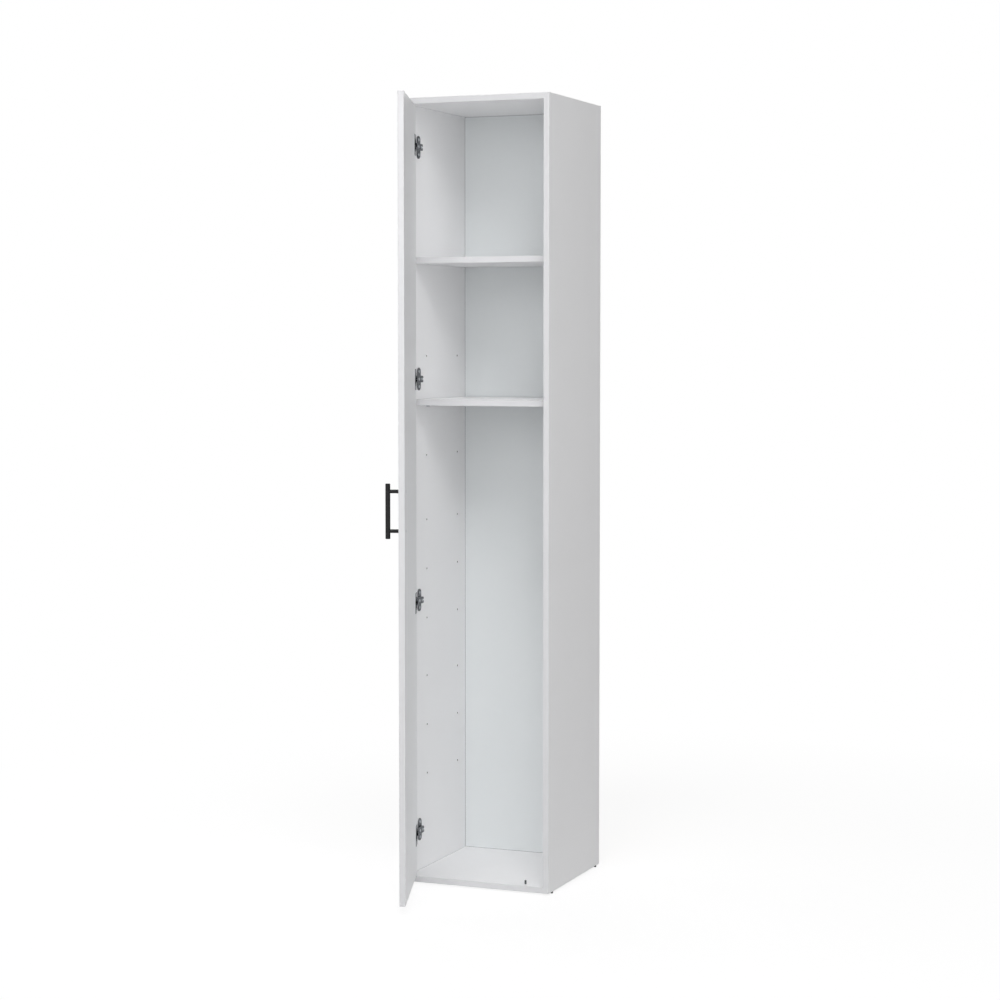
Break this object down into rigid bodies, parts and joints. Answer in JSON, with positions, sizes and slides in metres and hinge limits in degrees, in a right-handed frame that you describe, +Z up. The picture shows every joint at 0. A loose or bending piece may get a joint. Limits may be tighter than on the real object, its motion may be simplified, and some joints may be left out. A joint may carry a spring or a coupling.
{
  "type": "broom cupboard",
  "caption": "Tall narrow white broom cupboard with one inset door standing open on concealed hinges, a black bar handle, shelves at the top and a tall open bay below",
  "frame": {"origin": "On the floor, in the middle of the back face that stands against the wall", "axes": "+X to the right seen from the front, +Y to the back, +Z up; at rest the door stands open by 70.3 degrees, as in the picture"},
  "size_m": [0.4, 0.7083, 2],
  "materials": {
    "faced_board": "particle board with a smooth white melamine face",
    "fibreboard": "thin fibreboard, printed white inside and bare brown behind",
    "edge_banding": "pale grey-white edge band, satin",
    "grey_plastic": "light grey moulded plastic",
    "dark_plastic": "dark grey moulded plastic",
    "black_plastic": "black moulded plastic",
    "fitting_steel": "zinc-plated steel",
    "zinc_alloy": "die-cast zinc",
    "beech": "turned beech dowel",
    "hinge_steel": "nickel-plated pressed steel",
    "black_metal": "black satin powder coat"
  },
  "bodies": {
    "carcass": {"left_side_panel": "faced_board", "right_side_panel": "faced_board", "top_panel": "faced_board", "bottom_panel": "faced_board", "back_panel": "fibreboard", "fixed_shelf": "faced_board", "adjustable_shelf": "faced_board", "left_side_edge_band": "edge_banding", "right_side_edge_band": "edge_banding", "top_panel_edge_band": "edge_banding", "bottom_panel_edge_band": "edge_banding", "fixed_shelf_edge_band": "edge_banding", "adjustable_shelf_edge_band": "edge_banding", "door_stop_peg": "dark_plastic", "shelf_pins": "fitting_steel", "cam_locks": "zinc_alloy", "cam_cover_caps": "grey_plastic", "cam_bolts": "fitting_steel", "wood_dowels": "beech", "back_panel_nails": "fitting_steel", "front_left_foot": "black_plastic", "front_right_foot": "black_plastic", "rear_left_foot": "black_plastic", "rear_right_foot": "black_plastic", "foot_nails": "fitting_steel", "top_hinge_mounting_plate": "hinge_steel", "upper_hinge_mounting_plate": "hinge_steel", "lower_hinge_mounting_plate": "hinge_steel", "bottom_hinge_mounting_plate": "hinge_steel", "top_hinge_arm": "hinge_steel", "upper_hinge_arm": "hinge_steel", "lower_hinge_arm": "hinge_steel", "bottom_hinge_arm": "hinge_steel", "hinge_plate_screws": "fitting_steel", "hinge_arm_screws": "fitting_steel"},
    "door": {"door_panel": "faced_board", "door_hinge_side_edge_band": "edge_banding", "door_free_side_edge_band": "edge_banding", "door_top_edge_band": "edge_banding", "door_bottom_edge_band": "edge_banding", "top_hinge_cup": "hinge_steel", "upper_hinge_cup": "hinge_steel", "lower_hinge_cup": "hinge_steel", "bottom_hinge_cup": "hinge_steel", "hinge_cup_screws": "fitting_steel", "hinge_pins": "fitting_steel", "handle_bar": "black_metal", "upper_handle_post": "black_metal", "lower_handle_post": "black_metal", "handle_screws": "fitting_steel"}
  },
  "joints": [
    {"name": "door_swing", "type": "hinge", "parent": "carcass", "child": "door", "pos_m": [-0.175, -0.3704, 1], "axis": [0, 0, -1], "range_deg": [-70.3, 24.7]}
  ]
}
